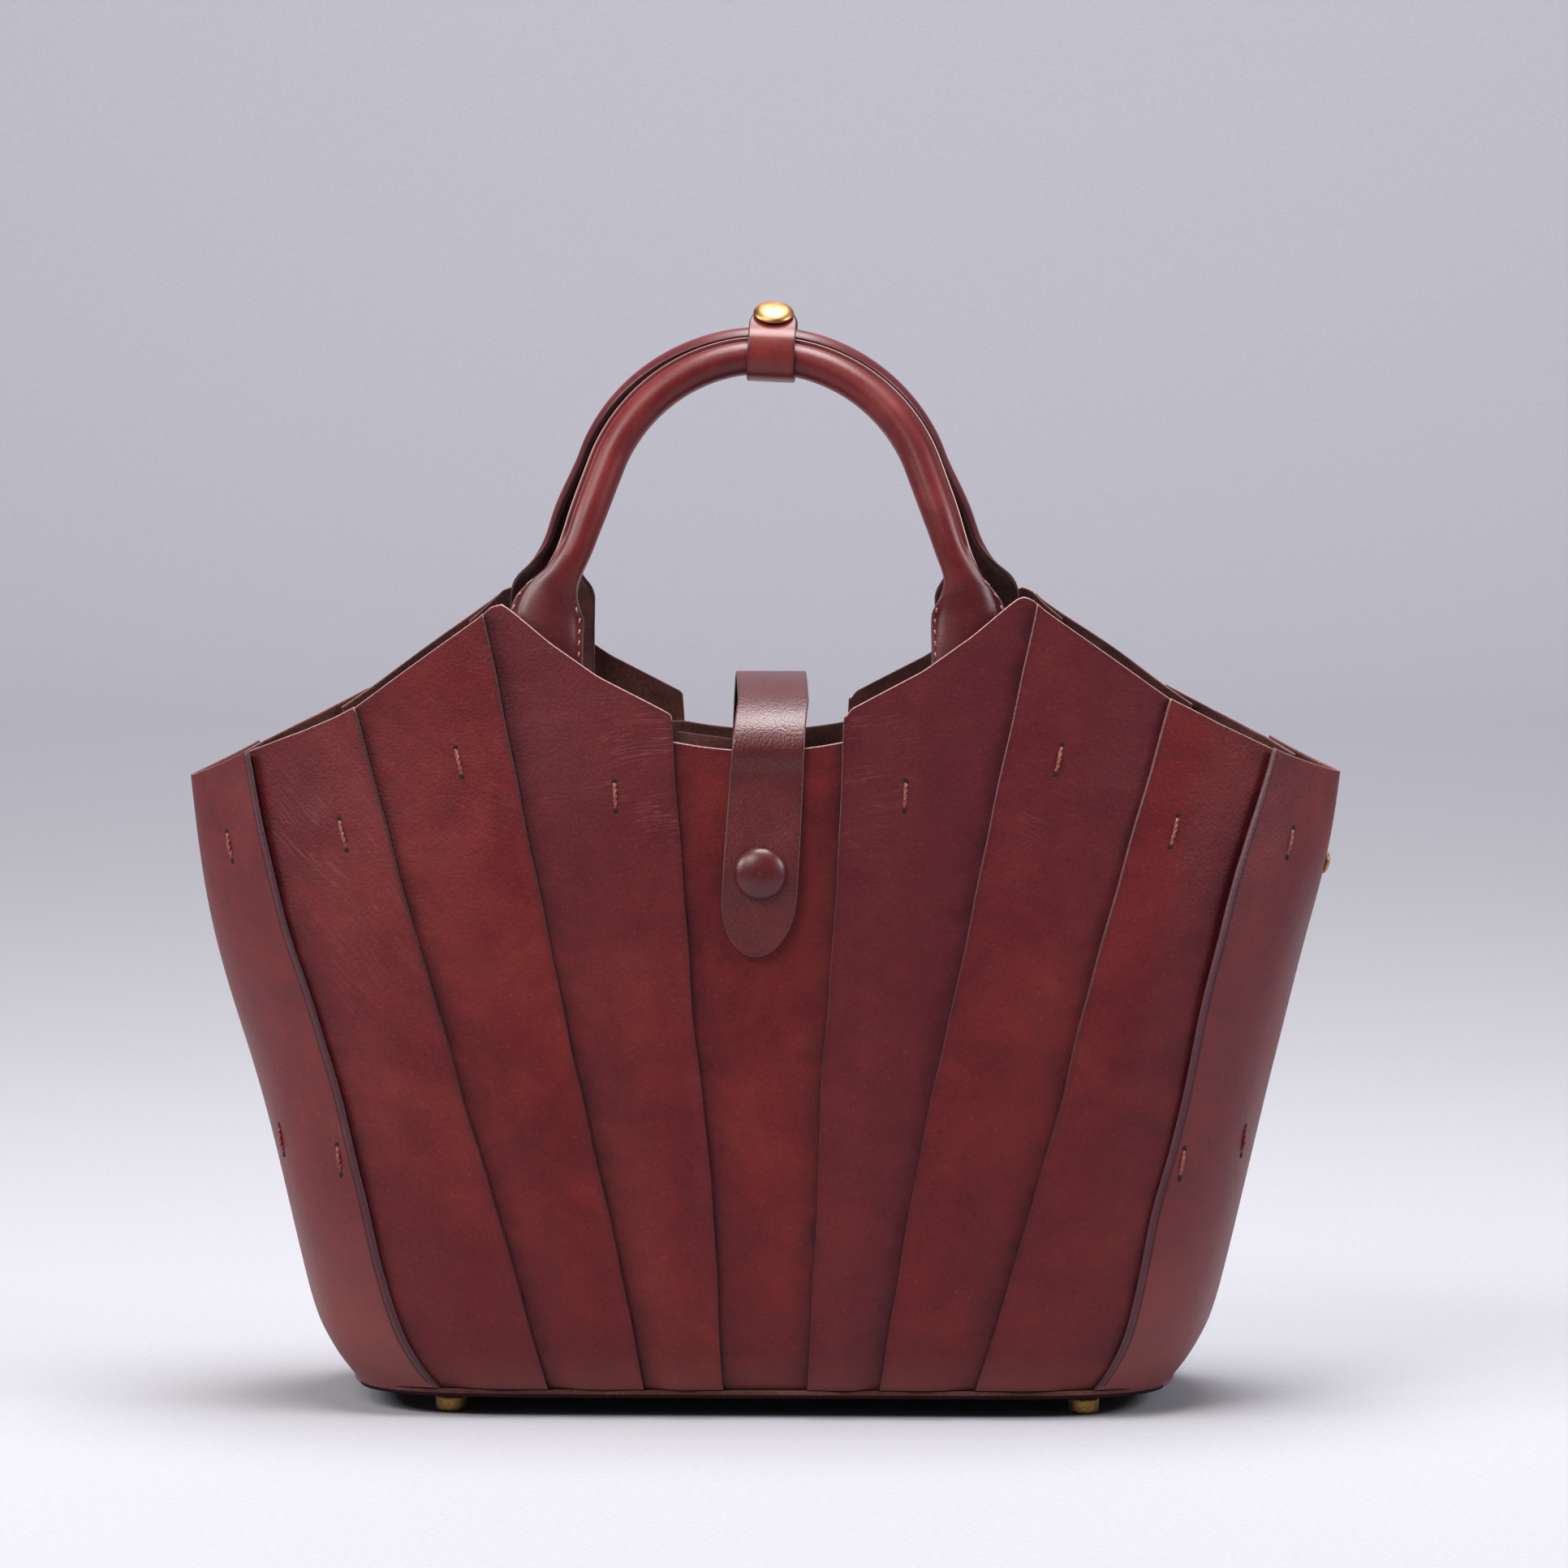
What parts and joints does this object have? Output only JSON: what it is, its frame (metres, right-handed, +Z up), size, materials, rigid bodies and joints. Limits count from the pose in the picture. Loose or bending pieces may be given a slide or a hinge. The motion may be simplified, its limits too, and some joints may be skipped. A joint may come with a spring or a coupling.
{
  "type": "leather satchel bag",
  "caption": "Open-topped leather satchel of overlapping fanned strips on a flat footed base, with paired arched handles in a keeper loop and a snap closure strap.",
  "frame": {"origin": "on the floor under the middle of the bag, level with the bottoms of its feet", "axes": "+X to the right of the bag seen from the front, +Y to its back, +Z up"},
  "size_m": [0.413, 0.132, 0.3909],
  "materials": {
    "panel_leather": "satin vegetable-tanned grain",
    "handle_leather": "burnished, glossier than the panels",
    "base_leather": "dark, matt",
    "suede": "suede, the flesh side",
    "brass": "polished"
  },
  "bodies": {
    "root": {"front_center_panel": "panel_leather", "front_left_panel_1": "panel_leather", "front_left_panel_2": "panel_leather", "front_left_panel_3": "panel_leather", "front_right_panel_1": "panel_leather", "front_right_panel_2": "panel_leather", "front_right_panel_3": "panel_leather", "back_center_panel": "panel_leather", "back_left_panel_1": "panel_leather", "back_left_panel_2": "panel_leather", "back_left_panel_3": "panel_leather", "back_right_panel_1": "panel_leather", "back_right_panel_2": "panel_leather", "back_right_panel_3": "panel_leather", "side_left_panel": "panel_leather", "side_right_panel": "panel_leather", "base_panel": "base_leather", "foot_front_left": "brass", "foot_front_right": "brass", "foot_back_left": "brass", "foot_back_right": "brass", "handle_front": "handle_leather", "handle_back": "handle_leather", "handle_keeper": "handle_leather", "keeper_cap": "brass", "closure_strap": "panel_leather", "snap_cap": "panel_leather", "snap_facing": "suede", "side_stud_left": "brass", "side_stud_right": "brass"}
  },
  "joints": []
}
